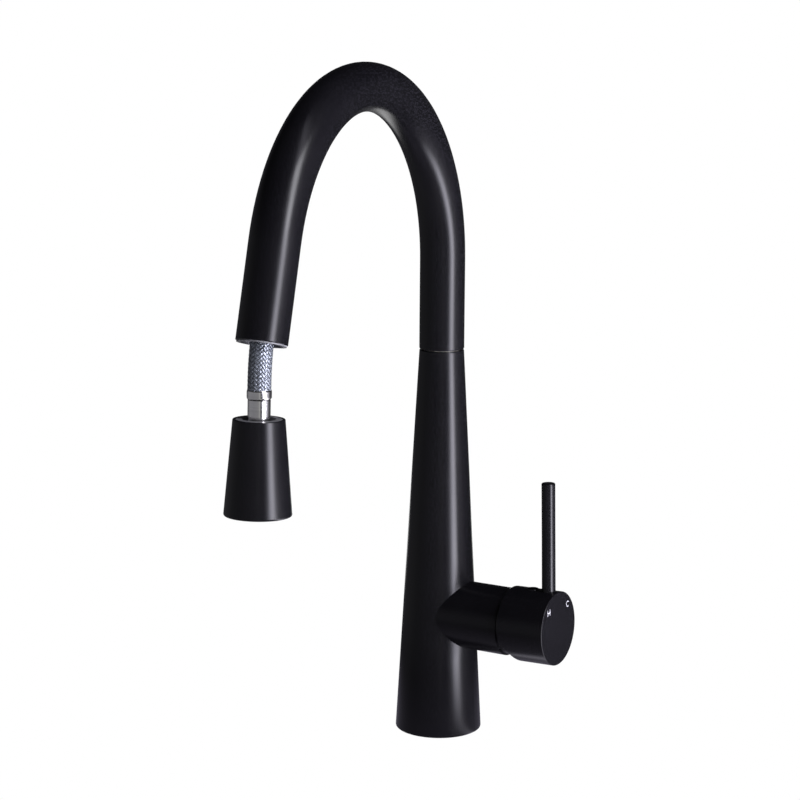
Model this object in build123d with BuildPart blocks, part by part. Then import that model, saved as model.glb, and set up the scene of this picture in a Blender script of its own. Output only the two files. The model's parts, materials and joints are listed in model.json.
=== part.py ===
# Single-lever kitchen faucet with a high swivelling spout and a pull-down spray head.
# +Z is up, the origin is the centre of the base where it meets the deck.
# The handle's axis is +X. The spout reaches towards -Y, swung a little towards the handle.
import os
from math import atan2, cos, degrees, hypot, radians, sin, tan

from build123d import *

# --- running and seating gaps ---
seat_gap = 0.03  # between a piece and the bore it is pushed or screwed into
run_gap = 0.05  # between a turning piece and its bearing
shadow_gap = 0.4  # seam between the column and the spout

# --- sizes that many pieces follow ---
base_radius = 27.3
column_height = 244.3
spout_radius = 14.0
hose_radius = 6.35
cartridge_radius = 17.4

# --- spout bearing, from the hose outwards ---
hose_clearance = 1.15
journal_wall = 1.9
bush_wall = 2.0
bush_step = 0.6
foot_bore_radius = hose_radius + hose_clearance
journal_radius = foot_bore_radius + journal_wall
neck_bore_radius = journal_radius + bush_wall
neck_seat_radius = neck_bore_radius + bush_step

# --- column ---
top_step = 0.1
column_top_radius = spout_radius - top_step
column_wall = 3.0
foot_edge = 1.0
foot_flange_height = 6.0
foot_flange_width = 6.0
foot_flange_radius = base_radius - foot_flange_width
neck_length = 39.3
neck_seat_depth = 1.6

# --- side barrel that holds the cartridge ---
barrel_height = 76.4
cartridge_clearance = 0.6
barrel_wall = 3.1
barrel_length = 44.1
barrel_bore_radius = cartridge_radius + cartridge_clearance
barrel_radius = barrel_bore_radius + barrel_wall
web_start = foot_bore_radius
web_thickness = 2.0
web_half_height = barrel_bore_radius + web_thickness
barrel_end = web_start + barrel_length

# --- deck fixing ---
deck_thickness = 25.0
stud_radius = 4.0
stud_gap = 3.05
stud_reach = -hose_radius - stud_gap - stud_radius
stud_depth = 12.0
stud_tail = 34.0
stud_lug_radius = 5.6
clamp_radius = 26.0
clamp_slot_radius = 14.5
slot_clearance = 0.65
clamp_slot_reach = clamp_slot_radius - hose_radius - slot_clearance
clamp_hole_radius = 4.5
clamp_rubber = 3.0
clamp_plate = 2.5
clamp_nut_height = 20.0
clamp_nut_width = 13.0
gasket_width = 2.8
gasket_lip = 2.1
gasket_outer_radius = base_radius - gasket_lip
gasket_inner_radius = gasket_outer_radius - gasket_width
gasket_thickness = 1.6

# --- water block ---
block_length = 11.5
block_flat = 11.7
port_radius = 3.5
port_depth = 9.0
port_spacing = 8.6
port_back_wall = 1.2
passage_radius = 2.6

# --- cartridge ---
cartridge_base_length = 3.5
bonnet_depth = 4.8
neck_proud = 8.2
cartridge_wall = 2.2
cartridge_body_end = barrel_end - bonnet_depth
cartridge_neck_radius = 11.5
cartridge_neck_end = barrel_end + neck_proud
chamber_radius = cartridge_radius - cartridge_wall
port_seal_radius = 3.9
disc_thickness = 3.5
disc_clearance = 0.4
fixed_disc_radius = chamber_radius - disc_clearance
moving_disc_radius = 10.5
carrier_length = 9.1
rotor_radius = 9.3
rotor_flange_radius = 12.0
rotor_flange_length = 4.5
rotor_proud = 0.6
rotor_end = cartridge_neck_end + rotor_proud
bonnet_length = 9.4
bonnet_step = 1.9
bonnet_collar_radius = cartridge_radius - bonnet_step

# --- lever ---
pivot_proud = 7.0
pivot_reach = barrel_end + pivot_proud
lever_lean = 1.4  # degrees that the closed lever leans towards the column
lift_angle = 24.0
turn_angle = 45.0
stem_width = 7.0
stem_height = 4.8
stem_tail = 20.0
stem_head = 14.0
stem_tip_radius = 2.5
stem_clearance = 0.35
pivot_pin_radius = 1.2
cover_step = 1.1
cover_radius = barrel_radius - cover_step
cover_flat = 4.9
cover_hole_radius = 12.2
hub_clearance = 1.2
hub_wall = 1.8
hub_skirt_radius = cover_radius + hub_clearance
hub_radius = hub_skirt_radius + hub_wall
hub_rear = -6.0
hub_floor = 12.9
hub_face = 26.1
hub_edge = 0.5
hub_rear_edge = 1.4
hub_cut_depth = 10.5
hub_boss_radius = 8.5
hub_boss_start = 5.6
lever_radius = 4.25
lever_length = 90.9
lever_seat = 12.0
lever_reach = 19.55
set_screw_radius = 2.0
set_screw_length = 5.5
plug_reach = 8.4
plug_radius = 3.9
plug_proud = 0.4
mark_radius = 18.0
mark_size = 3.8
mark_stroke = 0.5
mark_narrowing = 0.92
mark_thickness = 0.12

# --- spout ---
spout_swing = 5.0
spout_wall = 1.5
arch_radius = 107.6
spout_rise = 56.3
arch_start = column_height + spout_rise
arch_angle = 164.4
outlet_run = 54.0
journal_drop = 43.0
foot_plug_length = 13.0
bush_length = 12.0
bush_flange = 2.0
circlip_thickness = 1.4
circlip_radius = neck_bore_radius
friction_ring_section = 0.95
dock_ring_wall = 1.0
dock_ring_radius = spout_radius - spout_wall - dock_ring_wall
dock_ring_length = 12.0
dock_flange_inset = 0.6
dock_flange_radius = spout_radius - dock_flange_inset
dock_flange = 0.8

# --- hose ---
braid_wall = 1.05
liner_wall = 1.1
hose_liner_radius = hose_radius - braid_wall
hose_bore_radius = hose_liner_radius - liner_wall
hose_tail_depth = 55.0
tail_length = 22.0
collar_step = 0.3
collar_radius = hose_radius + collar_step
collar_length = 5.8
sleeve_step = 0.25
sleeve_radius = hose_radius - sleeve_step
sleeve_length = 30.0
hang_length = 39.0  # how far the head hangs below its dock, along the swing
hang_swing = 13.6  # degrees that the hose bends where it leaves the spout
pull_travel = 90.0

# --- spray head ---
head_length = 51.8
head_flare = 4.4
head_top_radius = spout_radius
head_foot_radius = head_top_radius + head_flare
head_top_edge = 0.5
head_foot_edge = 1.0
head_rim = 1.3
insert_width = 3.5
insert_radius = head_top_radius - head_rim
insert_bore_radius = insert_radius - insert_width
insert_length = 2.0
recess_depth = 9.0
aerator_length = 12.0
head_foot_wall = 4.4
aerator_radius = head_foot_radius - head_foot_wall
spray_face_recess = 1.2
nozzle_count = 24
nozzle_radius = 0.9
collar_above_head = 16.0


def along_x(reach, height=barrel_height):
    """Plane across the barrel's axis, its own x towards +Y and its own y up."""
    return Plane(origin=(reach, 0, height), x_dir=(0, 1, 0), z_dir=(1, 0, 0))


# The spout's plane: its own x is the reach from the column's axis, its own y is height.
swing = radians(spout_swing)
spout_plane = Plane(
    origin=(0, 0, 0),
    x_dir=(sin(swing), -cos(swing), 0),
    z_dir=(-cos(swing), -sin(swing), 0),
)


def in_spout(point, direction, turned=0.0):
    """Plane whose z is a direction in the spout's plane, at a point of that plane."""
    origin = spout_plane.from_local_coords(Vector(point[0], point[1], 0))
    z = spout_plane.x_dir * direction[0] + Vector(0, 0, direction[1])
    return Plane(origin=origin, x_dir=spout_plane.z_dir, z_dir=z)


def down_the(angle):
    """Unit direction in the spout's plane, leaning out from straight down by an angle."""
    return (sin(radians(angle)), -cos(radians(angle)))


# --- places that follow from the sizes above ---
top_edge = min(2 * shadow_gap, (column_top_radius - neck_seat_radius) / 2)
column_slope = (base_radius - column_top_radius) / column_height
neck_start = column_height - neck_length
block_start = web_start + web_thickness
block_end = block_start + block_length
cartridge_start = block_end
disc_start = cartridge_start + cartridge_base_length
moving_disc_start = disc_start + disc_thickness
carrier_start = moving_disc_start + disc_thickness
carrier_end = carrier_start + carrier_length
rotor_start = carrier_end + 0.7
rotor_shoulder = rotor_start + rotor_flange_length
port_reach = block_start + port_radius + port_back_wall
spout_start = column_height + shadow_gap
outlet_lean = 180.0 - arch_angle
outlet_direction = down_the(outlet_lean)
hang_direction = down_the(outlet_lean - hang_swing)
arch_end = (
    arch_radius - arch_radius * cos(radians(arch_angle)),
    arch_start + arch_radius * sin(radians(arch_angle)),
)
outlet = tuple(arch_end[i] + outlet_run * outlet_direction[i] for i in range(2))
dock_gap = 0.3
docked_reach = dock_flange + dock_gap
docked_top = tuple(outlet[i] + docked_reach * outlet_direction[i] for i in range(2))
# The hose's swing: a circle through the docked and the hanging place of the head's top.
chord_angle = 4.37  # degrees that the chord between the two places leans out
chord = down_the(chord_angle)
head_top = tuple(docked_top[i] + hang_length * chord[i] for i in range(2))
half_chord = hang_length / 2
pole_distance = half_chord / tan(radians(hang_swing / 2))
dock_pole = (
    docked_top[0] + half_chord * chord[0] + pole_distance * chord[1],
    docked_top[1] + half_chord * chord[1] - pole_distance * chord[0],
)
collar_top = tuple(head_top[i] - collar_above_head * hang_direction[i] for i in range(2))
# Where the outlet's line and the hanging line cross, and the bend between them.
cross_share = (
    (collar_top[0] - outlet[0]) * hang_direction[1] - (collar_top[1] - outlet[1]) * hang_direction[0]
) / (outlet_direction[0] * hang_direction[1] - outlet_direction[1] * hang_direction[0])
crossing = tuple(outlet[i] + cross_share * outlet_direction[i] for i in range(2))
bend_reach = hypot(collar_top[0] - crossing[0], collar_top[1] - crossing[1]) - 0.5
bend_start = tuple(crossing[i] - bend_reach * outlet_direction[i] for i in range(2))
bend_end = tuple(crossing[i] + bend_reach * hang_direction[i] for i in range(2))
bend_radius = bend_reach / tan(radians(hang_swing / 2))
pivot_plane = Plane(
    origin=(pivot_reach, 0, barrel_height),
    x_dir=(cos(radians(lever_lean)), 0, sin(radians(lever_lean))),
    z_dir=(0, -1, 0),
)


def column_radius(height):
    return base_radius - column_slope * height


def across_lever(reach):
    """Plane across the lever hub's own axis, at a reach from its pivot."""
    origin = pivot_plane.from_local_coords(Vector(reach, 0, 0))
    return Plane(origin=origin, x_dir=(0, 1, 0), z_dir=pivot_plane.x_dir)


def up_lever(reach, rise):
    """Plane across the lever pin, its z up the pin."""
    origin = pivot_plane.from_local_coords(Vector(reach, rise, 0))
    return Plane(origin=origin, x_dir=(0, 1, 0), z_dir=pivot_plane.y_dir)


os.makedirs("parts", exist_ok=True)


def keep(piece, name):
    piece.part.label = name
    export_step(piece.part, f"parts/{name}.step")


# ---------------------------------------------------------------- column
inner_slope_radius = column_radius(neck_start) - column_wall

with BuildPart() as column_inside:
    with BuildSketch(Plane.XZ):
        with BuildLine():
            Polyline(
                (0, 0),
                (foot_flange_radius, 0),
                (foot_flange_radius, foot_flange_height),
                (column_radius(foot_flange_height) - column_wall, foot_flange_height),
                (inner_slope_radius, neck_start),
                (0, neck_start),
                close=True,
            )
        make_face()
    revolve(axis=Axis.Z)

web_bottom = barrel_height - web_half_height
web_top = barrel_height + web_half_height

with BuildPart() as seat_web:
    with BuildSketch(Plane.XZ):
        with BuildLine():
            Polyline(
                (0, web_bottom),
                (column_radius(web_bottom) - column_wall / 2, web_bottom),
                (column_radius(web_top) - column_wall / 2, web_top),
                (0, web_top),
                close=True,
            )
        make_face()
    revolve(axis=Axis.Z)
    with BuildSketch(along_x(web_start)):
        Rectangle(2 * base_radius, 2 * web_half_height)
    extrude(amount=web_thickness, mode=Mode.INTERSECT)

with BuildPart() as column:
    with BuildSketch(Plane.XZ):
        with BuildLine():
            Polyline(
                (0, 0),
                (base_radius, 0),
                (column_top_radius, column_height),
                (0, column_height),
                close=True,
            )
        make_face()
    revolve(axis=Axis.Z)
    fillet(column.edges().group_by(Axis.Z)[0], foot_edge)
    fillet(column.edges().group_by(Axis.Z)[-1], top_edge)
    with BuildSketch(along_x(0)):
        Circle(barrel_radius)
    extrude(amount=barrel_end)
    add(column_inside.part, mode=Mode.SUBTRACT)
    add(seat_web.part)
    with BuildSketch(along_x(block_start)):
        Circle(barrel_bore_radius)
    extrude(amount=barrel_end - block_start, mode=Mode.SUBTRACT)
    with BuildSketch(Plane.XY.offset(neck_start)):
        Circle(neck_bore_radius)
    extrude(amount=neck_length, mode=Mode.SUBTRACT)
    with BuildSketch(Plane.XY.offset(column_height - neck_seat_depth)):
        Circle(neck_seat_radius)
    extrude(amount=neck_seat_depth, mode=Mode.SUBTRACT)
    with BuildSketch():
        with Locations((stud_reach, 0)):
            Circle(stud_lug_radius)
        with Locations((stud_reach - stud_lug_radius, 0)):
            Rectangle(2 * stud_lug_radius, 2 * stud_lug_radius)
    extrude(amount=stud_depth + 3)
    with BuildSketch():
        Circle(gasket_outer_radius)
        Circle(gasket_inner_radius, mode=Mode.SUBTRACT)
    extrude(amount=gasket_thickness, mode=Mode.SUBTRACT)
    with BuildSketch():
        with Locations((stud_reach, 0)):
            Circle(stud_radius + seat_gap)
    extrude(amount=stud_depth, mode=Mode.SUBTRACT)
keep(column, "column_body")

# ---------------------------------------------------------------- deck fixing
with BuildPart() as base_gasket:
    with BuildSketch():
        Circle(gasket_outer_radius - seat_gap)
        Circle(gasket_inner_radius + seat_gap, mode=Mode.SUBTRACT)
    extrude(amount=gasket_thickness)
keep(base_gasket, "base_gasket")

clamp_top = -deck_thickness
nut_top = clamp_top - clamp_rubber - clamp_plate
stud_bottom = nut_top - stud_tail

with BuildPart() as deck_stud:
    with BuildSketch(Plane.XY.offset(stud_bottom)):
        with Locations((stud_reach, 0)):
            Circle(stud_radius)
    extrude(amount=stud_depth - stud_bottom)
    chamfer(deck_stud.edges().group_by(Axis.Z)[0], stud_radius / 6)
keep(deck_stud, "deck_stud")


def horseshoe(top, thickness, radius):
    """Clamp plate with a slot for the hoses and a hole for the stud."""
    with BuildPart() as plate:
        with BuildSketch(Plane.XY.offset(top - thickness)):
            Circle(radius)
            with Locations((clamp_slot_reach, 0)):
                Circle(clamp_slot_radius, mode=Mode.SUBTRACT)
            with Locations((clamp_slot_reach + radius, 0)):
                Rectangle(2 * radius, 2 * clamp_slot_radius, mode=Mode.SUBTRACT)
            with Locations((stud_reach, 0)):
                Circle(clamp_hole_radius, mode=Mode.SUBTRACT)
        extrude(amount=thickness)
    return plate


keep(horseshoe(clamp_top, clamp_rubber, clamp_radius), "clamp_rubber")
keep(horseshoe(clamp_top - clamp_rubber, clamp_plate, clamp_radius), "clamp_plate")

with BuildPart() as clamp_nut:
    with BuildSketch(Plane.XY.offset(nut_top - clamp_nut_height)):
        with Locations((stud_reach, 0)):
            RegularPolygon(clamp_nut_width / 2, 6, major_radius=False, rotation=30)
            Circle(stud_radius + seat_gap, mode=Mode.SUBTRACT)
    extrude(amount=clamp_nut_height)
keep(clamp_nut, "clamp_nut")

# ---------------------------------------------------------------- water block
block_bottom = barrel_height - block_flat
ports = [port_spacing, 0, -port_spacing]
passage_rise = block_bottom + port_depth + passage_radius - barrel_height
passages = [(y, passage_rise) for y in ports]

with BuildPart() as water_block:
    with BuildSketch(along_x(block_start)):
        Circle(barrel_bore_radius - seat_gap)
        with Locations((0, -block_flat - barrel_radius)):
            Rectangle(4 * barrel_radius, 2 * barrel_radius, mode=Mode.SUBTRACT)
    extrude(amount=block_length)
    with BuildSketch(Plane.XY.offset(block_bottom)):
        with Locations(*[(port_reach, y) for y in ports]):
            Circle(port_radius)
    extrude(amount=port_depth, mode=Mode.SUBTRACT)
    with BuildSketch(Plane.XY.offset(block_bottom + port_depth)):
        with Locations(*[(port_reach, y) for y in ports]):
            Circle(passage_radius)
    extrude(amount=2 * passage_radius, mode=Mode.SUBTRACT)
    with BuildSketch(along_x(port_reach)):
        with Locations(*passages):
            Circle(passage_radius)
    extrude(amount=block_end - port_reach, mode=Mode.SUBTRACT)
keep(water_block, "water_block")

# ---------------------------------------------------------------- cartridge
seal_depth = 1.0

with BuildPart() as cartridge_base:
    with BuildSketch(along_x(cartridge_start)):
        Circle(cartridge_radius)
        with Locations(*passages):
            Circle(passage_radius, mode=Mode.SUBTRACT)
    extrude(amount=cartridge_base_length)
    with BuildSketch(along_x(cartridge_start)):
        with Locations(*passages):
            Circle(port_seal_radius + seat_gap)
    extrude(amount=seal_depth, mode=Mode.SUBTRACT)
keep(cartridge_base, "cartridge_base")

with BuildPart() as port_seals:
    with BuildSketch(along_x(cartridge_start)):
        with Locations(*passages):
            Circle(port_seal_radius)
            Circle(passage_radius, mode=Mode.SUBTRACT)
    extrude(amount=seal_depth)
keep(port_seals, "port_seals")

with BuildPart() as fixed_disc:
    with BuildSketch(along_x(disc_start)):
        Circle(fixed_disc_radius)
        with Locations(*passages):
            Circle(passage_radius, mode=Mode.SUBTRACT)
    extrude(amount=disc_thickness)
keep(fixed_disc, "fixed_disc")

with BuildPart() as cartridge_body:
    with BuildSketch(along_x(disc_start)):
        Circle(cartridge_radius)
    extrude(amount=cartridge_body_end - disc_start)
    with BuildSketch(along_x(cartridge_body_end)):
        Circle(cartridge_neck_radius)
    extrude(amount=cartridge_neck_end - cartridge_body_end)
    with BuildSketch(along_x(disc_start)):
        Circle(chamber_radius)
    extrude(amount=carrier_end - disc_start, mode=Mode.SUBTRACT)
    with BuildSketch(along_x(carrier_end)):
        Circle(rotor_flange_radius + run_gap)
    extrude(amount=rotor_shoulder + run_gap - carrier_end, mode=Mode.SUBTRACT)
    with BuildSketch(along_x(rotor_shoulder)):
        Circle(rotor_radius + run_gap)
    extrude(amount=cartridge_neck_end - rotor_shoulder, mode=Mode.SUBTRACT)
keep(cartridge_body, "cartridge_body")

# The stem's tip swings about the pivot and slides the moving disc up and down.
tip_rest = -stem_tail * sin(radians(lever_lean))
tip_lifted = stem_tail * sin(radians(lift_angle - lever_lean))
disc_travel = tip_lifted - tip_rest
disc_centre = -disc_travel / 2
pocket_start = pivot_reach - stem_tail - stem_tip_radius - 0.8
pocket_half_height = stem_tip_radius + stem_clearance + 0.2

with BuildPart() as moving_disc:
    with BuildSketch(along_x(moving_disc_start + run_gap)):
        with Locations((0, disc_centre)):
            Circle(moving_disc_radius)
        with Locations((0, disc_centre + moving_disc_radius / 4)):
            SlotOverall(moving_disc_radius, moving_disc_radius / 2, mode=Mode.SUBTRACT)
    extrude(amount=disc_thickness - run_gap)
keep(moving_disc, "moving_disc")

with BuildPart() as disc_carrier:
    with BuildSketch(along_x(carrier_start)):
        with Locations((0, disc_centre)):
            Circle(moving_disc_radius)
    extrude(amount=carrier_length)
    with BuildSketch(along_x(pocket_start)):
        with Locations((0, tip_rest)):
            Rectangle(stem_width + 2 * run_gap, 2 * pocket_half_height)
    extrude(amount=carrier_end - pocket_start, mode=Mode.SUBTRACT)
keep(disc_carrier, "disc_carrier")


def stem_line(reach, angle, side):
    """Height of the stem's upper or lower face at a reach from the pivot."""
    lean = radians(angle)
    return -reach * tan(lean) + side * (stem_height / 2 / cos(lean) + stem_clearance)


slot_inner = rotor_start - pivot_reach
slot_outer = rotor_end - pivot_reach
most_lift = lift_angle - lever_lean

with BuildPart() as stem_rotor:
    with BuildSketch(along_x(rotor_start)):
        Circle(rotor_flange_radius)
    extrude(amount=rotor_flange_length)
    with BuildSketch(along_x(rotor_shoulder)):
        Circle(rotor_radius)
    extrude(amount=rotor_end - rotor_shoulder)
    slot_plane = Plane(origin=(pivot_reach, 0, barrel_height), x_dir=(1, 0, 0), z_dir=(0, -1, 0))
    with BuildSketch(slot_plane):
        with BuildLine():
            Polyline(
                (slot_inner, stem_line(slot_inner, -lever_lean, -1)),
                (slot_inner, stem_line(slot_inner, most_lift, 1)),
                (0, stem_line(0, most_lift, 1)),
                (slot_outer, stem_line(slot_outer, -lever_lean, 1)),
                (slot_outer, stem_line(slot_outer, most_lift, -1)),
                (0, stem_line(0, most_lift, -1)),
                close=True,
            )
        make_face()
    extrude(amount=stem_width / 2 + run_gap, both=True, mode=Mode.SUBTRACT)
    with BuildSketch(slot_plane):
        Circle(pivot_pin_radius + seat_gap)
    extrude(amount=rotor_radius, both=True, mode=Mode.SUBTRACT)
keep(stem_rotor, "stem_rotor")

with BuildPart() as pivot_pin:
    with BuildSketch(slot_plane):
        Circle(pivot_pin_radius)
    extrude(amount=rotor_radius - 0.6, both=True)
keep(pivot_pin, "pivot_pin")

with BuildPart() as bonnet_nut:
    with BuildSketch(along_x(cartridge_body_end)):
        Circle(barrel_bore_radius - seat_gap)
    extrude(amount=barrel_end - cartridge_body_end)
    with BuildSketch(along_x(barrel_end)):
        Circle(bonnet_collar_radius)
    extrude(amount=cartridge_body_end + bonnet_length - barrel_end)
    with BuildSketch(along_x(cartridge_body_end)):
        Circle(cartridge_neck_radius + seat_gap)
    extrude(amount=bonnet_length, mode=Mode.SUBTRACT)
keep(bonnet_nut, "bonnet_nut")

cover_top = pivot_reach + cover_flat

with BuildPart() as cartridge_cover:
    with BuildSketch(Plane.XZ):
        with BuildLine():
            shoulder = (cover_top, barrel_height + (cover_radius**2 - cover_flat**2) ** 0.5)
            Line((barrel_end, barrel_height), (barrel_end, barrel_height + cover_radius))
            Line((barrel_end, barrel_height + cover_radius), (pivot_reach, barrel_height + cover_radius))
            RadiusArc((pivot_reach, barrel_height + cover_radius), shoulder, cover_radius)
            Line(shoulder, (cover_top, barrel_height))
            Line((cover_top, barrel_height), (barrel_end, barrel_height))
        make_face()
    revolve(axis=Axis((0, 0, barrel_height), (1, 0, 0)))
    with BuildSketch(along_x(barrel_end)):
        Circle(bonnet_collar_radius + seat_gap)
    extrude(amount=cartridge_body_end + bonnet_length - barrel_end, mode=Mode.SUBTRACT)
    with BuildSketch(along_x(barrel_end)):
        Circle(cover_hole_radius)
    extrude(amount=cover_top - barrel_end, mode=Mode.SUBTRACT)
keep(cartridge_cover, "cartridge_cover")

# ---------------------------------------------------------------- lever
with BuildPart() as stem:
    with BuildSketch(pivot_plane):
        with Locations(((stem_head - stem_tail) / 2, 0)):
            Rectangle(stem_head + stem_tail, stem_height)
        with Locations((-stem_tail, 0)):
            Circle(stem_tip_radius)
        Circle(pivot_pin_radius + run_gap, mode=Mode.SUBTRACT)
    extrude(amount=stem_width / 2, both=True)
keep(stem, "lever_stem")

with BuildPart() as lever_hub:
    with BuildSketch(across_lever(hub_rear)):
        Circle(hub_radius)
    extrude(amount=hub_face - hub_rear)
    fillet(lever_hub.edges().sort_by(Axis.X)[-1], hub_edge)
    fillet(lever_hub.edges().sort_by(Axis.X)[0], hub_rear_edge)
    with BuildSketch(across_lever(hub_rear)):
        Circle(hub_skirt_radius)
    extrude(amount=hub_floor - hub_rear, mode=Mode.SUBTRACT)
    with BuildSketch(across_lever(hub_boss_start)):
        Circle(hub_boss_radius)
    extrude(amount=hub_floor - hub_boss_start)
    # The rear edge is cut back below the axis, so that the hub can tip outwards.
    with BuildSketch(pivot_plane):
        with BuildLine():
            Polyline(
                (hub_rear, 0),
                (hub_rear + 2 * hub_cut_depth, -2 * hub_radius),
                (hub_rear - hub_cut_depth, -2 * hub_radius),
                (hub_rear - hub_cut_depth, 0),
                close=True,
            )
        make_face()
    extrude(amount=2 * hub_radius, both=True, mode=Mode.SUBTRACT)
    with BuildSketch(pivot_plane):
        with Locations(((hub_boss_start + stem_head) / 2, 0)):
            Rectangle(stem_head - hub_boss_start, stem_height + 2 * seat_gap)
    extrude(amount=stem_width / 2 + seat_gap, both=True, mode=Mode.SUBTRACT)
    with BuildSketch(up_lever(lever_reach, lever_seat)):
        Circle(lever_radius + seat_gap)
    extrude(amount=hub_radius, mode=Mode.SUBTRACT)
    with BuildSketch(up_lever(plug_reach, stem_height / 2)):
        Circle(set_screw_radius + seat_gap)
    extrude(amount=hub_radius / 2, mode=Mode.SUBTRACT)
    with BuildSketch(up_lever(plug_reach, hub_radius - 4)):
        Circle(plug_radius + seat_gap)
    extrude(amount=hub_radius, mode=Mode.SUBTRACT)
keep(lever_hub, "lever_hub")

with BuildPart() as lever_pin:
    with BuildSketch(up_lever(lever_reach, lever_seat)):
        Circle(lever_radius)
    extrude(amount=lever_length - lever_seat)
    fillet(lever_pin.edges().group_by(Axis.Z)[-1], lever_radius / 5)
keep(lever_pin, "lever_pin")

with BuildPart() as set_screw:
    with BuildSketch(up_lever(plug_reach, stem_height / 2)):
        Circle(set_screw_radius)
    extrude(amount=set_screw_length)
    with BuildSketch(up_lever(plug_reach, stem_height / 2 + set_screw_length / 2)):
        RegularPolygon(set_screw_radius / 2, 6, major_radius=False)
    extrude(amount=set_screw_length, mode=Mode.SUBTRACT)
keep(set_screw, "set_screw")

plug_bottom = (hub_skirt_radius**2 - plug_radius**2) ** 0.5

with BuildPart() as screw_plug:
    with BuildSketch(up_lever(plug_reach, plug_bottom)):
        Circle(plug_radius)
    extrude(amount=hub_radius + plug_proud - plug_bottom)
    fillet(screw_plug.edges().group_by(Axis.Z)[-1], plug_proud)
    with BuildSketch(up_lever(plug_reach, hub_radius + plug_proud - 1)):
        Circle(plug_radius - 0.8)
    extrude(amount=hub_radius, mode=Mode.SUBTRACT)
keep(screw_plug, "screw_plug")

mark_side = mark_radius * sin(radians(turn_angle))

with BuildPart() as hot_mark:
    with BuildSketch(across_lever(hub_face)):
        with Locations((-mark_side, mark_side)):
            for side in (-1, 1):
                with Locations((side * (mark_size * mark_narrowing - mark_stroke) / 2, 0)):
                    Rectangle(mark_stroke, mark_size)
            Rectangle(mark_size * mark_narrowing, mark_stroke)
    extrude(amount=mark_thickness)
keep(hot_mark, "hot_mark")

with BuildPart() as cold_mark:
    with BuildSketch(across_lever(hub_face)):
        with Locations((mark_side, mark_side)):
            Circle(mark_size / 2)
            Circle(mark_size / 2 - mark_stroke, mode=Mode.SUBTRACT)
        with Locations((mark_side + mark_size / 2, mark_side)):
            Rectangle(mark_size * 0.62, mark_size * 0.5, mode=Mode.SUBTRACT)
    extrude(amount=mark_thickness)
keep(cold_mark, "cold_mark")

# ---------------------------------------------------------------- spout
def spout_path():
    Line((0, spout_start), (0, arch_start))
    CenterArc((arch_radius, arch_start), arch_radius, 180, -arch_angle)
    Line(arch_end, outlet)


with BuildPart() as spout_tube:
    with BuildLine(spout_plane):
        spout_path()
    with BuildSketch(Plane.XY.offset(spout_start)):
        Circle(spout_radius)
        Circle(spout_radius - spout_wall, mode=Mode.SUBTRACT)
    sweep()
    fillet(spout_tube.edges().group_by(Axis.Z)[0].sort_by(SortBy.LENGTH)[-1], 2 * shadow_gap)
    outlet_edges = spout_tube.faces().filter_by(GeomType.PLANE).sort_by(Axis.Z)[-1].edges()
    fillet(outlet_edges.sort_by(SortBy.LENGTH)[-1], shadow_gap)
keep(spout_tube, "spout_tube")

journal_bottom = spout_start - journal_drop
circlip_bottom = neck_start - bush_flange - circlip_thickness - 2 * run_gap

with BuildPart() as spout_foot:
    with BuildSketch(Plane.XY.offset(journal_bottom)):
        Circle(journal_radius)
    extrude(amount=journal_drop)
    with BuildSketch(Plane.XY.offset(spout_start)):
        Circle(spout_radius - spout_wall - seat_gap)
    extrude(amount=foot_plug_length)
    with BuildSketch(Plane.XY.offset(journal_bottom)):
        Circle(foot_bore_radius)
    extrude(amount=journal_drop + foot_plug_length, mode=Mode.SUBTRACT)
    with BuildSketch(Plane.XY.offset(circlip_bottom)):
        Circle(journal_radius)
        Circle(journal_radius - 0.8, mode=Mode.SUBTRACT)
    extrude(amount=circlip_thickness, mode=Mode.SUBTRACT)
keep(spout_foot, "spout_foot")

with BuildPart() as spout_circlip:
    with BuildSketch(Plane.XY.offset(circlip_bottom)):
        Circle(circlip_radius)
        Circle(journal_radius - 0.8 + seat_gap, mode=Mode.SUBTRACT)
        with Locations((circlip_radius, 0)):
            Rectangle(circlip_radius, journal_radius / 2, mode=Mode.SUBTRACT)
    extrude(amount=circlip_thickness)
keep(spout_circlip, "spout_circlip")


def bush(sleeve_bottom, sleeve_top, flange_bottom, flange_top, flange_radius):
    """Nylon bearing in the column's neck, with a flange at one end."""
    with BuildPart() as made:
        with BuildSketch(Plane.XY.offset(sleeve_bottom)):
            Circle(neck_bore_radius - seat_gap)
        extrude(amount=sleeve_top - sleeve_bottom)
        with BuildSketch(Plane.XY.offset(flange_bottom)):
            Circle(flange_radius)
        extrude(amount=flange_top - flange_bottom)
        with BuildSketch(Plane.XY.offset(min(sleeve_bottom, flange_bottom))):
            Circle(journal_radius + run_gap)
        extrude(amount=bush_length + 2 * bush_flange, mode=Mode.SUBTRACT)
    return made


seat_level = column_height - neck_seat_depth
keep(
    bush(seat_level - bush_length, seat_level, seat_level, spout_start, neck_seat_radius - seat_gap),
    "upper_bush",
)
lower_flange = neck_start - bush_flange
keep(
    bush(neck_start, neck_start + bush_length, lower_flange, neck_start, inner_slope_radius - 0.3),
    "lower_bush",
)

with BuildPart() as friction_ring:
    with BuildSketch(Plane.XZ):
        with Locations(((journal_radius + neck_bore_radius) / 2, column_height - 20)):
            Circle(friction_ring_section)
    revolve(axis=Axis.Z)
keep(friction_ring, "friction_ring")

with BuildPart() as spout_dock_ring:
    with BuildSketch(in_spout(outlet, [-outlet_direction[0], -outlet_direction[1]])):
        Circle(spout_radius - spout_wall - seat_gap)
        Circle(dock_ring_radius, mode=Mode.SUBTRACT)
    extrude(amount=dock_ring_length)
    with BuildSketch(in_spout(outlet, outlet_direction)):
        Circle(dock_flange_radius)
        Circle(dock_ring_radius, mode=Mode.SUBTRACT)
    extrude(amount=dock_flange)
keep(spout_dock_ring, "spout_dock_ring")

# ---------------------------------------------------------------- hose
hose_bottom = -hose_tail_depth


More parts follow.
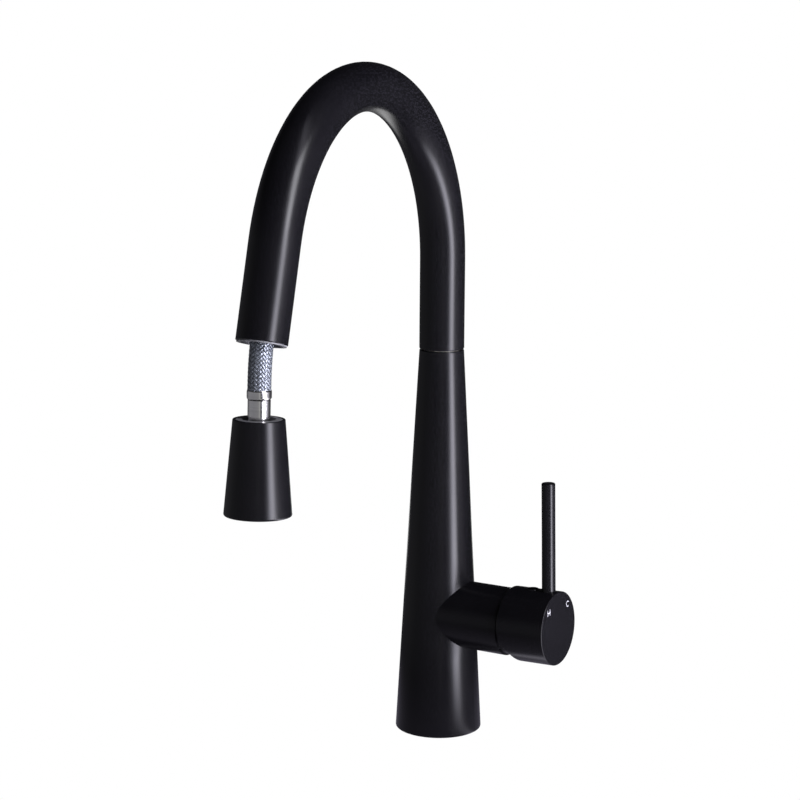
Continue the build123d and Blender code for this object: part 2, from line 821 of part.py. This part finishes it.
def hose_tube(outer, inner):
    """Tube along the hose: up the column, over the arch, and out to the spray head."""
    with BuildPart() as tube:
        with BuildLine(spout_plane):
            Line((0, hose_bottom), (0, arch_start))
            CenterArc((arch_radius, arch_start), arch_radius, 180, -arch_angle)
            Line(arch_end, bend_start)
            CenterArc(bend_centre, bend_radius, 90 - arch_angle + 90, -hang_swing)
            Line(bend_end, collar_top)
        with BuildSketch(Plane.XY.offset(hose_bottom)):
            Circle(outer)
            Circle(inner, mode=Mode.SUBTRACT)
        sweep()
    return tube


# The bend keeps turning the same way as the arch.
bend_centre = (
    bend_start[0] + bend_radius * outlet_direction[1],
    bend_start[1] - bend_radius * outlet_direction[0],
)
hose_liner = hose_tube(hose_liner_radius, hose_bore_radius)
keep(hose_liner, "hose_liner")
hose_braid = hose_tube(hose_radius, hose_liner_radius)
keep(hose_braid, "hose_braid")

hose_run = hose_tail_depth + arch_start + radians(arch_angle) * arch_radius
hose_run += outlet_run - hypot(outlet[0] - bend_start[0], outlet[1] - bend_start[1])
hose_run += radians(hang_swing) * bend_radius
hose_run += hypot(collar_top[0] - bend_end[0], collar_top[1] - bend_end[1])
print("hose bend radius", round(bend_radius, 1), "length", round(hose_run, 1))
print("the head swings about", dock_pole, "and pulls out by", pull_travel)

with BuildPart() as hose_tail:
    with BuildSketch(Plane.XY.offset(hose_bottom - tail_length)):
        Circle(hose_radius + 0.6)
    extrude(amount=tail_length)
    with BuildSketch(Plane.XY.offset(hose_bottom - tail_length)):
        Circle(hose_bore_radius)
    extrude(amount=tail_length, mode=Mode.SUBTRACT)
    with BuildSketch(Plane.XY.offset(hose_bottom - tail_length)):
        RegularPolygon(hose_radius + 1.5, 6, major_radius=False)
        Circle(hose_bore_radius, mode=Mode.SUBTRACT)
    extrude(amount=tail_length / 3)
keep(hose_tail, "hose_tail")

collar_plane = in_spout(collar_top, hang_direction)

with BuildPart() as hose_ferrule:
    with BuildSketch(collar_plane):
        Circle(collar_radius)
    extrude(amount=collar_length)
    fillet(hose_ferrule.edges(), collar_length / 4)
    with BuildSketch(collar_plane.offset(collar_length)):
        Circle(sleeve_radius)
    extrude(amount=sleeve_length - collar_length)
    with BuildSketch(collar_plane):
        Circle(hose_bore_radius)
    extrude(amount=sleeve_length, mode=Mode.SUBTRACT)
keep(hose_ferrule, "hose_ferrule")

# ---------------------------------------------------------------- spray head
head_plane = in_spout(head_top, hang_direction)
socket_radius = sleeve_radius + 0.05
ferrule_in_head = sleeve_length - collar_above_head
neck_piece = head_length - aerator_length - spray_face_recess

with BuildPart() as head_shell:
    with BuildSketch(head_plane):
        Circle(head_top_radius)
    with BuildSketch(head_plane.offset(head_length)):
        Circle(head_foot_radius)
    loft(ruled=True)
    fillet(head_shell.edges().sort_by(Axis.Z)[-1], head_top_edge)
    fillet(head_shell.edges().sort_by(Axis.Z)[0], head_foot_edge)
    with BuildSketch(head_plane):
        Circle(insert_radius + seat_gap)
    with BuildSketch(head_plane.offset(neck_piece)):
        Circle(aerator_radius + seat_gap)
    loft(ruled=True, mode=Mode.SUBTRACT)
    with BuildSketch(head_plane.offset(neck_piece)):
        Circle(aerator_radius + seat_gap)
    extrude(amount=aerator_length + spray_face_recess, mode=Mode.SUBTRACT)
keep(head_shell, "head_shell")

with BuildPart() as head_insert:
    with BuildSketch(head_plane):
        Circle(insert_radius)
    extrude(amount=insert_length)
    fillet(head_insert.edges().sort_by(Axis.Z)[-1], 0.8)
    with BuildSketch(head_plane):
        Circle(insert_bore_radius)
    extrude(amount=insert_length, mode=Mode.SUBTRACT)
keep(head_insert, "head_insert")

with BuildPart() as head_core:
    with BuildSketch(head_plane):
        Circle(insert_radius)
    with BuildSketch(head_plane.offset(neck_piece)):
        Circle(aerator_radius)
    loft(ruled=True)
    with BuildSketch(head_plane):
        Circle(insert_radius + seat_gap)
    extrude(amount=insert_length, mode=Mode.SUBTRACT)
    with BuildSketch(head_plane.offset(insert_length)):
        Circle(insert_bore_radius)
    extrude(amount=recess_depth - insert_length, mode=Mode.SUBTRACT)
    with BuildSketch(head_plane.offset(recess_depth)):
        Circle(socket_radius)
    extrude(amount=ferrule_in_head - recess_depth, mode=Mode.SUBTRACT)
    with BuildSketch(head_plane.offset(ferrule_in_head)):
        Circle(hose_bore_radius)
    extrude(amount=neck_piece - ferrule_in_head, mode=Mode.SUBTRACT)
keep(head_core, "head_core")

with BuildPart() as aerator_housing:
    with BuildSketch(head_plane.offset(neck_piece)):
        Circle(aerator_radius)
    extrude(amount=aerator_length)
    with BuildSketch(head_plane.offset(neck_piece + 2.0)):
        Circle(aerator_radius - 1.6)
    extrude(amount=aerator_length, mode=Mode.SUBTRACT)
    with BuildSketch(head_plane.offset(neck_piece)):
        Circle(hose_bore_radius)
    extrude(amount=aerator_length, mode=Mode.SUBTRACT)
keep(aerator_housing, "aerator_housing")

with BuildPart() as flow_straightener:
    with BuildSketch(head_plane.offset(neck_piece + 2.0)):
        Circle(aerator_radius - 1.6 - seat_gap)
        with PolarLocations(4.5, 8):
            Circle(1.1, mode=Mode.SUBTRACT)
        with PolarLocations(8.5, 16):
            Circle(1.1, mode=Mode.SUBTRACT)
    extrude(amount=3.0)
keep(flow_straightener, "flow_straightener")

with BuildPart() as spray_face:
    with BuildSketch(head_plane.offset(neck_piece + aerator_length - 3.0)):
        Circle(aerator_radius - 1.6 - seat_gap)
        with PolarLocations(10.0, nozzle_count):
            Circle(nozzle_radius, mode=Mode.SUBTRACT)
        with PolarLocations(6.5, nozzle_count // 2):
            Circle(nozzle_radius, mode=Mode.SUBTRACT)
        Circle(2 * nozzle_radius, mode=Mode.SUBTRACT)
    extrude(amount=3.0)
keep(spray_face, "spray_face")
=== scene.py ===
# Looks of the pull-down kitchen faucet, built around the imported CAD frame. Metres, +Z up.
import json
import math

import bpy
from mathutils import Matrix, Vector


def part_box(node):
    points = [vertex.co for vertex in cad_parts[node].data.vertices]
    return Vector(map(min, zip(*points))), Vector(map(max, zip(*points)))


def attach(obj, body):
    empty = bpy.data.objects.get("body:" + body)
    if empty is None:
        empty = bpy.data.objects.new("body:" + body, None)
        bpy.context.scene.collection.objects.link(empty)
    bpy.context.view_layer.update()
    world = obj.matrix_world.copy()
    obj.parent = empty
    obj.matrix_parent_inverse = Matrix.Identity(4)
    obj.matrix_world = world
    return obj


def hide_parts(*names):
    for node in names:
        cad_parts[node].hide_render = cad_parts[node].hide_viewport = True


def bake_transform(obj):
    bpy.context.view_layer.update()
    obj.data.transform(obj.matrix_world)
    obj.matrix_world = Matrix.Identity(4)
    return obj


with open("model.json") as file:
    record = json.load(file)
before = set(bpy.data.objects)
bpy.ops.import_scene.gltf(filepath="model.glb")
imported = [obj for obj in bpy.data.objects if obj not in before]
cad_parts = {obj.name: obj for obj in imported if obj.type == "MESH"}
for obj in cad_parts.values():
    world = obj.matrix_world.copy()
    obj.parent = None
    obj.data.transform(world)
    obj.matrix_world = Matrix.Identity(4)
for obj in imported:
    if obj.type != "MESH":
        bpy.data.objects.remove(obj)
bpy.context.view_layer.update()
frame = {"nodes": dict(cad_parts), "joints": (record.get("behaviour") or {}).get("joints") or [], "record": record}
nodes = frame["nodes"]
joints = {j["name"]: j for j in frame["joints"]}

# --- camera ---
CAMERA_AZIMUTH = math.radians(30.9)
CAMERA_ELEVATION = math.radians(10.0)
CAMERA_ROLL = math.radians(0.35)
CAMERA_DISTANCE = 1.3126
AIM_SIDE = -0.0258
AIM_HEIGHT = 0.2118
LENS_MM = 94.4
SENSOR_MM = 36.0
VIEW_FAR = 200.0

# --- key light, placed by its angle from the camera ---
KEY_AZIMUTH = math.radians(50.0)
KEY_DISTANCE = 1.5
KEY_HEIGHT = 1.2
KEY_TARGET = Vector((0.02, -0.08, 0.2))
KEY_WIDTH = 0.5
KEY_TALL = 1.0
KEY_WATTS = 20.0
KEY_COLOUR = (0.95, 0.95, 1.0)

# --- spout and hose, as in the CAD ---
ARCH_RADIUS = 0.1076
ARCH_ANGLE = math.radians(164.4)
OUTLET_RUN = 0.0540
TUBE_RADIUS = 0.014
HOSE_BEND = math.radians(13.6)
HOSE_RADIUS = 0.00635
# The bend ends this far above the collar, and the hose goes this far into it.
COLLAR_GAP = 0.0005
COLLAR_OVERLAP = 0.001

# --- the hose's core and the hidden rest of the hose ---
CORE_RADIUS = 0.0057
CORE_STEP = 0.002
CORE_SIDES = 48
RISER_STEPS = 24
RISER_ARCH_STEPS = 96
RISER_SIDES = 32

# --- braid ---
STRANDS_EACH_WAY = 18
STRAND_WIDTH = 0.00150
STRAND_THICKNESS = 0.00044
STRAND_STEP = 0.00028
STRAND_CORNERS = 8
WEAVE_DEPTH = 0.00022
WEAVE_STEEPNESS = 1.5
WEAVE_PHASE = math.pi / 4
YARN_MARKS_PER_METRE = 800.0


# ---------------------------------------------------------------- node helpers
def new_material(name):
    material = bpy.data.materials.new(name)
    material.use_nodes = True
    tree = material.node_tree
    return material, tree, tree.nodes["Principled BSDF"]


def add_node(tree, kind, **values):
    """A node with its inputs, or else its own settings, given by name."""
    node = tree.nodes.new(kind)
    for key, value in values.items():
        if key in node.inputs:
            node.inputs[key].default_value = value
        else:
            setattr(node, key, value)
    return node


def noise(tree, scale, detail=3.0):
    coordinates = add_node(tree, "ShaderNodeTexCoord")
    made = add_node(tree, "ShaderNodeTexNoise", Scale=scale, Detail=detail, Roughness=0.55)
    tree.links.new(coordinates.outputs["Object"], made.inputs["Vector"])
    return made


def stretched_noise(tree, space, scale, detail):
    """Noise drawn out into lines, in the object's own coordinates or along its UVs."""
    coordinates = add_node(tree, "ShaderNodeTexCoord")
    mapping = add_node(tree, "ShaderNodeMapping", Scale=scale)
    made = add_node(tree, "ShaderNodeTexNoise", Scale=1.0, Detail=detail)
    tree.links.new(coordinates.outputs[space], mapping.inputs["Vector"])
    tree.links.new(mapping.outputs["Vector"], made.inputs["Vector"])
    return made


def ramp(tree, source, low, high, first, last):
    """Colours or greys from first to last as the source goes from low to high."""
    made = add_node(tree, "ShaderNodeValToRGB")
    made.color_ramp.elements[0].position = low
    made.color_ramp.elements[0].color = first
    made.color_ramp.elements[1].position = high
    made.color_ramp.elements[1].color = last
    tree.links.new(source, made.inputs["Fac"])
    return made.outputs["Color"]


def vector_math(tree, operation, first, second=None):
    """A vector node on one socket, or on two, or on one and a fixed vector."""
    made = add_node(tree, "ShaderNodeVectorMath", operation=operation)
    tree.links.new(first, made.inputs[0])
    if isinstance(second, tuple):
        made.inputs[1].default_value = second
    elif second is not None:
        tree.links.new(second, made.inputs[1])
    return made


def grey(value):
    return (value, value, value, 1.0)


def darkened(colour, share):
    return tuple(c * share for c in colour[:3]) + (1.0,)


def bump(tree, shader, source, distance, strength):
    made = add_node(tree, "ShaderNodeBump", Distance=distance, Strength=strength)
    tree.links.new(source, made.inputs["Height"])
    tree.links.new(made.outputs["Normal"], shader.inputs["Normal"])


# ---------------------------------------------------------------- materials
BLACK = (0.0042, 0.0040, 0.0052, 1.0)
BLACK_LIGHTER = (0.0055, 0.0052, 0.0066, 1.0)
YARN_SHADE = (0.06, 0.067, 0.08, 1)
YARN_SHINE = (0.36, 0.39, 0.44, 1)


def coated_black(name, base, lighter, roughness):
    """Satin black powder coat: a fine grain, slight changes of gloss, and a faint orange peel."""
    material, tree, shader = new_material(name)
    broad = noise(tree, scale=35.0)
    fine = noise(tree, scale=2600.0, detail=2.0)
    tint = ramp(tree, broad.outputs["Fac"], 0.3, 0.7, base, lighter)
    tree.links.new(tint, shader.inputs["Base Color"])
    smoother = grey(roughness - 0.02)
    rougher = grey(roughness + 0.03)
    gloss = ramp(tree, broad.outputs["Fac"], 0.25, 0.75, smoother, rougher)
    tree.links.new(gloss, shader.inputs["Roughness"])
    bump(tree, shader, fine.outputs["Fac"], distance=0.00002, strength=0.1)
    shader.inputs["Specular IOR Level"].default_value = 0.26
    return material


def metal(name, colour, roughness, scratch_strength=0.12):
    """Machined or plated metal with fine level lines, as turning leaves on an upright piece."""
    material, tree, shader = new_material(name)
    shader.inputs["Metallic"].default_value = 1.0
    lines = stretched_noise(tree, "Object", scale=(40.0, 40.0, 900.0), detail=4.0)
    tint = ramp(tree, lines.outputs["Fac"], 0.3, 0.7, darkened(colour, 0.86), colour)
    tree.links.new(tint, shader.inputs["Base Color"])
    gloss = ramp(tree, lines.outputs["Fac"], 0.3, 0.7, grey(roughness), grey(roughness + 0.07))
    tree.links.new(gloss, shader.inputs["Roughness"])
    bump(tree, shader, lines.outputs["Fac"], distance=0.00002, strength=scratch_strength)
    return material


def plastic(name, colour, roughness, specular=0.4):
    """Moulded plastic, rubber or ceramic: a faint mottle and a fine moulded grain."""
    material, tree, shader = new_material(name)
    mottle = noise(tree, scale=120.0)
    fine = noise(tree, scale=900.0)
    tint = ramp(tree, mottle.outputs["Fac"], 0.3, 0.7, darkened(colour, 0.9), colour)
    tree.links.new(tint, shader.inputs["Base Color"])
    gloss = ramp(tree, mottle.outputs["Fac"], 0.3, 0.7, grey(roughness), grey(roughness + 0.06))
    tree.links.new(gloss, shader.inputs["Roughness"])
    bump(tree, shader, fine.outputs["Fac"], distance=0.00003, strength=0.2)
    shader.inputs["Specular IOR Level"].default_value = specular
    return material


def braid_material(name):
    """Grey-blue yarn with silvery filaments running along each strand."""
    material, tree, shader = new_material(name)
    shader.inputs["Metallic"].default_value = 0.6
    filaments = stretched_noise(tree, "UV", scale=(9.0, 1.0, 1.0), detail=2.0)
    tint = ramp(tree, filaments.outputs["Fac"], 0.3, 0.7, YARN_SHADE, YARN_SHINE)
    tree.links.new(tint, shader.inputs["Base Color"])
    gloss = ramp(tree, filaments.outputs["Fac"], 0.3, 0.7, grey(0.45), grey(0.26))
    tree.links.new(gloss, shader.inputs["Roughness"])
    bump(tree, shader, filaments.outputs["Fac"], distance=0.00006, strength=0.5)
    return material


materials = {
    "matte_black": coated_black("satin_black", BLACK, BLACK_LIGHTER, 0.24),
    "brass": metal("raw_brass", (0.72, 0.52, 0.24, 1.0), 0.25),
    "chrome": metal("bright_chrome", (0.82, 0.81, 0.80, 1.0), 0.12, scratch_strength=0.04),
    "steel": metal("zinc_steel", (0.62, 0.63, 0.65, 1.0), 0.3),
    "rubber": plastic("black_rubber", (0.02, 0.02, 0.02, 1.0), 0.7),
    "nylon": plastic("natural_nylon", (0.8, 0.78, 0.7, 1.0), 0.45),
    "dock_grey": plastic("light_grey_plastic", (0.17, 0.17, 0.18, 1.0), 0.45),
    "dark_plastic": plastic("black_plastic", (0.006, 0.006, 0.007, 1.0), 0.5, specular=0.2),
    "spray_grey": plastic("grey_silicone", (0.2, 0.2, 0.22, 1.0), 0.6),
    "ceramic": plastic("white_ceramic", (0.88, 0.87, 0.84, 1.0), 0.2),
    "braid": braid_material("grey_braid"),
    "mark_white": plastic("white_print", (0.6, 0.6, 0.63, 1.0), 0.4),
}
slot_of = {s["node"]: s["material_slot"] for s in frame["record"]["subparts"]}
for name, node in nodes.items():
    node.data.materials.clear()
    node.data.materials.append(materials[slot_of[name]])


# ---------------------------------------------------------------- mesh helpers
def make_object(name, verts, faces, material, uvs=None):
    mesh = bpy.data.meshes.new(name)
    mesh.from_pydata([tuple(v) for v in verts], [], faces)
    if uvs is not None:
        layer = mesh.uv_layers.new(name="UVMap")
        for loop in mesh.loops:
            layer.data[loop.index].uv = uvs[loop.vertex_index]
    for polygon in mesh.polygons:
        polygon.use_smooth = True
    mesh.materials.append(material)
    made = bpy.data.objects.new(name, mesh)
    bpy.context.scene.collection.objects.link(made)
    return made


def tube_faces(first, rings, sides):
    """Sides and both ends of a tube whose rings of points start at the first point."""
    faces = []
    for n in range(rings - 1):
        for k in range(sides):
            a = first + n * sides + k
            b = first + n * sides + (k + 1) % sides
            faces.append((a, b, b + sides, a + sides))
    last = first + (rings - 1) * sides
    faces.append(tuple(range(first + sides - 1, first - 1, -1)))
    faces.append(tuple(range(last, last + sides)))
    return faces


# ---------------------------------------------------------------- the spout's plane
up = Vector((0, 0, 1))
spin = joints["head_spin"]
head_point = Vector(spin["pos_m"])
hang = Vector(spin["axis"]).normalized()
reach_way = Vector((head_point.x, head_point.y, 0)).normalized()
across = reach_way.cross(up)
_, tube_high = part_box("spout_tube")
arch_height = tube_high.z - TUBE_RADIUS - ARCH_RADIUS
outlet_lean = math.pi - ARCH_ANGLE


def in_plane(reach, height):
    return reach_way * reach + up * height


def on_arch(angle):
    """Point on the arch's middle line, by the angle turned since the column."""
    return in_plane(ARCH_RADIUS * (1 - math.cos(angle)), arch_height + ARCH_RADIUS * math.sin(angle))


def leaning(angle):
    """Direction in the spout's plane, leaning out from straight down."""
    return reach_way * math.sin(angle) - up * math.cos(angle)


def outward(angle):
    """Direction square to leaning(angle), away from the column."""
    return reach_way * math.cos(angle) + up * math.sin(angle)


# ---------------------------------------------------------------- where the hose runs
outlet_way = leaning(outlet_lean)
arch_end = on_arch(ARCH_ANGLE)
outlet = arch_end + outlet_way * OUTLET_RUN
_, ferrule_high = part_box("hose_ferrule")
# The collar's top lies on the head's axis at the ferrule's highest level.
collar_top = head_point - hang * ((ferrule_high.z - head_point.z) / -hang.z)
# The outlet's line and the head's line meet at the corner that the bend rounds off.
cut = (collar_top - outlet).cross(hang).dot(across) / outlet_way.cross(hang).dot(across)
crossing = outlet + outlet_way * cut
bend_reach = (collar_top - crossing).length - COLLAR_GAP
bend_radius = bend_reach / math.tan(HOSE_BEND / 2)


def hose_run_points(step):
    """Points, directions and lengths so far, from the arch's end to a little way into the collar."""
    straight = (crossing - outlet_way * bend_reach - arch_end).length
    bend = HOSE_BEND * bend_radius
    total = straight + bend + COLLAR_GAP + COLLAR_OVERLAP
    centre = arch_end + outlet_way * straight - outward(outlet_lean) * bend_radius
    count = int(total / step)
    found = []
    for n in range(count + 1):
        s = total * n / count
        if s <= straight:
            found.append((arch_end + outlet_way * s, outlet_way, s))
        elif s <= straight + bend:
            lean = outlet_lean - (s - straight) / bend_radius
            found.append((centre + outward(lean) * bend_radius, leaning(lean), s))
        else:
            found.append((crossing + hang * (bend_reach + s - straight - bend), hang, s))
    return found


def riser_points():
    """Points and directions up the column and over the arch."""
    hose_low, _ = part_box("hose_braid")
    found = []
    for n in range(RISER_STEPS):
        found.append((in_plane(0, hose_low.z + (arch_height - hose_low.z) * n / RISER_STEPS), up, 0))
    for n in range(RISER_ARCH_STEPS + 1):
        angle = ARCH_ANGLE * n / RISER_ARCH_STEPS
        found.append((on_arch(angle), reach_way * math.sin(angle) + up * math.cos(angle), 0))
    return found


# ---------------------------------------------------------------- hose pieces
def ring_tube(name, points, radius, sides, material):
    verts = []
    for place, way, _ in points:
        side = way.cross(across)
        for k in range(sides):
            a = 2 * math.pi * k / sides
            verts.append(place + (across * math.cos(a) + side * math.sin(a)) * radius)
    return make_object(name, verts, tube_faces(0, len(points), sides), material)


def braid(name, points, material):
    """Two sets of flat strands that wind opposite ways and cross over and under."""
    verts, faces, uvs = [], [], []
    pitch = 2 * math.pi / STRANDS_EACH_WAY
    for hand in (1, -1):
        for k in range(STRANDS_EACH_WAY):
            faces += tube_faces(len(verts), len(points), STRAND_CORNERS)
            for place, way, s in points:
                side = way.cross(across)
                angle = k * pitch + hand * s / HOSE_RADIUS
                # Which set is on top changes with the angle, so the strands form columns of chevrons.
                wave = math.sin(math.pi * angle / pitch + WEAVE_PHASE)
                lift = hand * max(-1.0, min(1.0, WEAVE_STEEPNESS * wave))
                radius = HOSE_RADIUS - STRAND_THICKNESS + WEAVE_DEPTH * lift
                out = across * math.cos(angle) + side * math.sin(angle)
                round_way = side * math.cos(angle) - across * math.sin(angle)
                along = (way + round_way * hand).normalized()
                wide = along.cross(out)
                for c in range(STRAND_CORNERS):
                    a = 2 * math.pi * c / STRAND_CORNERS
                    offset = wide * (math.cos(a) * STRAND_WIDTH / 2)
                    offset += out * (math.sin(a) * STRAND_THICKNESS / 2)
                    verts.append(place + out * radius + offset)
                    uvs.append((c / STRAND_CORNERS, s * YARN_MARKS_PER_METRE))
    return make_object(name, verts, faces, material, uvs)


run = hose_run_points(STRAND_STEP)
core_material = plastic("braid_shadow", (0.03, 0.033, 0.04, 1.0), 0.7)
core = ring_tube("hose_core", hose_run_points(CORE_STEP), CORE_RADIUS, CORE_SIDES, core_material)
sleeve = braid("hose_braid_sleeve", run, materials["braid"])
for piece in (core, sleeve):
    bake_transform(piece)

# The rest of the hose is inside the column and the arch, and stays with the spout.
riser = ring_tube("hose_riser", riser_points(), HOSE_RADIUS, RISER_SIDES, materials["braid"])
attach(riser, "spout")
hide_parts("hose_braid")
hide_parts("hose_liner")


# ---------------------------------------------------------------- floor and studio
# What reflections see of the studio, by degrees round the faucet from the camera to its right:
# red, green, blue. A ramp holds colours up to 1, so they are divided by the glow's strength.
GLOW_STRENGTH = 20.0
STUDIO_RING = (
    (-180, 0.03, 0.03, 0.034),
    (-130, 0.10, 0.10, 0.11),
    (-95, 0.24, 0.24, 0.26),
    (-50, 0.22, 0.22, 0.24),
    (-2, 0.24, 0.24, 0.25),
    (2, 0.42, 0.42, 0.42),
    (9, 0.38, 0.38, 0.38),
    (13, 0.10, 0.10, 0.11),
    (25, 0.12, 0.12, 0.13),
    (36, 1.0, 1.0, 1.15),
    (45, 14.5, 14.3, 16.7),
    (54, 18.5, 18.0, 20.0),
    (62, 2.4, 2.4, 2.7),
    (68, 0.9, 0.9, 1.0),
    (88, 0.45, 0.44, 0.50),
    (100, 0.15, 0.145, 0.17),
    (130, 0.05, 0.05, 0.055),
    (180, 0.03, 0.03, 0.034),
)
NO_LIGHT = grey(0.0)
ALL_LIGHT = grey(1.0)

# --- the floor's glow, by the distance from the faucet or from the patch ---
FLOOR_HALF_WIDTH = 60.0
DARK_FLOOR_RADIUS = 0.08
LIT_FLOOR_RADIUS = 0.34
DARK_FLOOR_SHARE = 0.08
FOOT_GREY = (0.011, 0.0103, 0.0132, 1.0)
FOOT_GREY_RADIUS = 0.06
FOOT_GREY_END = 0.20
PATCH_PLACE = (-0.31, 0.51, 0.0)
PATCH_GLOW = 1.6
PATCH_RADIUS = 0.16
PATCH_END = 0.30

# --- the panels' top edge, as the upward part of a direction ---
PANEL_TOP = 0.08
PANEL_FADE_END = 0.45
ABOVE_PANELS_SHARE = 0.16


def studio_ring(tree, direction):
    """Colour of the studio in a direction, from its angle to the right of the camera."""
    towards_camera = (math.sin(CAMERA_AZIMUTH), -math.cos(CAMERA_AZIMUTH), 0)
    right_of_camera = (math.cos(CAMERA_AZIMUTH), math.sin(CAMERA_AZIMUTH), 0)
    ahead = vector_math(tree, "DOT_PRODUCT", direction, towards_camera)
    aside = vector_math(tree, "DOT_PRODUCT", direction, right_of_camera)
    angle = add_node(tree, "ShaderNodeMath", operation="ARCTAN2")
    tree.links.new(aside.outputs["Value"], angle.inputs[0])
    tree.links.new(ahead.outputs["Value"], angle.inputs[1])
    # The angle, from -pi to pi, becomes the ramp's 0 to 1.
    share = add_node(tree, "ShaderNodeMath", operation="MULTIPLY_ADD")
    tree.links.new(angle.outputs["Value"], share.inputs[0])
    share.inputs[1].default_value = 0.5 / math.pi
    share.inputs[2].default_value = 0.5
    ring = add_node(tree, "ShaderNodeValToRGB")
    stops = ring.color_ramp.elements
    while len(stops) < len(STUDIO_RING):
        stops.new(0.5)
    for stop, (degrees, red, green, blue) in zip(stops, STUDIO_RING):
        stop.position = degrees / 360 + 0.5
        stop.color = (red / GLOW_STRENGTH, green / GLOW_STRENGTH, blue / GLOW_STRENGTH, 1)
    tree.links.new(share.outputs["Value"], ring.inputs["Fac"])
    return ring.outputs["Color"]


def white_to_camera(tree, glow, white, surface):
    """Plain white where the camera sees it, and the studio's glow for reflections and light."""
    path = add_node(tree, "ShaderNodeLightPath")
    mix = add_node(tree, "ShaderNodeMixShader")
    tree.links.new(path.outputs["Is Camera Ray"], mix.inputs["Fac"])
    tree.links.new(glow, mix.inputs[1])
    tree.links.new(white, mix.inputs[2])
    tree.links.new(mix.outputs["Shader"], surface)


def studio_floor():
    material, tree, shader = new_material("white_floor")
    tree.nodes.remove(shader)
    place = add_node(tree, "ShaderNodeNewGeometry").outputs["Position"]
    # The floor gets dark towards the faucet, so that the handle isn't lit from below.
    apart = vector_math(tree, "LENGTH", place).outputs["Value"]
    dark = grey(DARK_FLOOR_SHARE)
    nearby = ramp(tree, apart, DARK_FLOOR_RADIUS, LIT_FLOOR_RADIUS, dark, ALL_LIGHT)
    lit = vector_math(tree, "MULTIPLY", studio_ring(tree, place), nearby)
    # A pale patch behind the faucet shows in the underside of the arch.
    from_patch = vector_math(tree, "DISTANCE", place, PATCH_PLACE).outputs["Value"]
    pale = ramp(tree, from_patch, PATCH_RADIUS, PATCH_END, grey(PATCH_GLOW / GLOW_STRENGTH), NO_LIGHT)
    with_patch = vector_math(tree, "ADD", lit.outputs["Vector"], pale)
    # A faint grey round the foot keeps its front from going fully dark.
    foot = ramp(tree, apart, FOOT_GREY_RADIUS, FOOT_GREY_END, FOOT_GREY, NO_LIGHT)
    with_foot = vector_math(tree, "ADD", with_patch.outputs["Vector"], foot)
    glow = add_node(tree, "ShaderNodeEmission", Strength=GLOW_STRENGTH)
    tree.links.new(with_foot.outputs["Vector"], glow.inputs["Color"])
    white = add_node(tree, "ShaderNodeEmission", Strength=1.0, Color=ALL_LIGHT)
    surface = tree.nodes["Material Output"].inputs["Surface"]
    white_to_camera(tree, glow.outputs["Emission"], white.outputs["Emission"], surface)
    side = FLOOR_HALF_WIDTH
    corners = [(-side, -side, 0), (side, -side, 0), (side, side, 0), (-side, side, 0)]
    floor = make_object("floor", corners, [(0, 1, 2, 3)], material)


def studio_world():
    world = bpy.data.worlds.new("studio")
    bpy.context.scene.world = world
    world.use_nodes = True
    tree = world.node_tree
    white = tree.nodes["Background"]
    white.inputs["Color"].default_value = ALL_LIGHT
    white.inputs["Strength"].default_value = 1.0
    direction = add_node(tree, "ShaderNodeTexCoord").outputs["Generated"]
    parts = add_node(tree, "ShaderNodeSeparateXYZ")
    tree.links.new(direction, parts.inputs["Vector"])
    # The panels end a little above the horizon, so the arch stays darker than the column.
    above = grey(ABOVE_PANELS_SHARE)
    low_down = ramp(tree, parts.outputs["Z"], PANEL_TOP, PANEL_FADE_END, ALL_LIGHT, above)
    lit = vector_math(tree, "MULTIPLY", studio_ring(tree, direction), low_down)
    glow = add_node(tree, "ShaderNodeBackground", Strength=GLOW_STRENGTH)
    tree.links.new(lit.outputs["Vector"], glow.inputs["Color"])
    surface = tree.nodes["World Output"].inputs["Surface"]
    white_to_camera(tree, glow.outputs["Background"], white.outputs["Background"], surface)


# ---------------------------------------------------------------- camera and key light
def round_the_faucet(azimuth):
    """Level direction by its angle to the right of the faucet's front."""
    return Vector((math.sin(azimuth), -math.cos(azimuth), 0))


def add_camera():
    right = Vector((math.cos(CAMERA_AZIMUTH), math.sin(CAMERA_AZIMUTH), 0))
    back = round_the_faucet(CAMERA_AZIMUTH) * math.cos(CAMERA_ELEVATION)
    back += up * math.sin(CAMERA_ELEVATION)
    top = back.cross(right)
    data = bpy.data.cameras.new("camera")
    data.lens = LENS_MM
    data.sensor_width = SENSOR_MM
    data.clip_end = VIEW_FAR
    camera = bpy.data.objects.new("camera", data)
    bpy.context.scene.collection.objects.link(camera)
    x = right * math.cos(CAMERA_ROLL) + top * math.sin(CAMERA_ROLL)
    y = top * math.cos(CAMERA_ROLL) - right * math.sin(CAMERA_ROLL)
    matrix = Matrix((x, y, back)).transposed().to_4x4()
    matrix.translation = right * AIM_SIDE + up * AIM_HEIGHT + back * CAMERA_DISTANCE
    camera.matrix_world = matrix
    bpy.context.scene.camera = camera


def add_key_softbox():
    """Area light aimed at the middle of the faucet."""
    data = bpy.data.lights.new("key_softbox", "AREA")
    data.shape = "RECTANGLE"
    data.size = KEY_WIDTH
    data.size_y = KEY_TALL
    data.energy = KEY_WATTS
    data.color = KEY_COLOUR
    light = bpy.data.objects.new("key_softbox", data)
    bpy.context.scene.collection.objects.link(light)
    away = round_the_faucet(CAMERA_AZIMUTH + KEY_AZIMUTH) * KEY_DISTANCE
    light.location = KEY_TARGET + away + up * (KEY_HEIGHT - KEY_TARGET.z)
    light.rotation_euler = (light.location - KEY_TARGET).to_track_quat("Z", "Y").to_euler()


studio_floor()
studio_world()
add_camera()
add_key_softbox()

scene = bpy.context.scene
scene.view_settings.view_transform = "Standard"
scene.view_settings.look = "None"
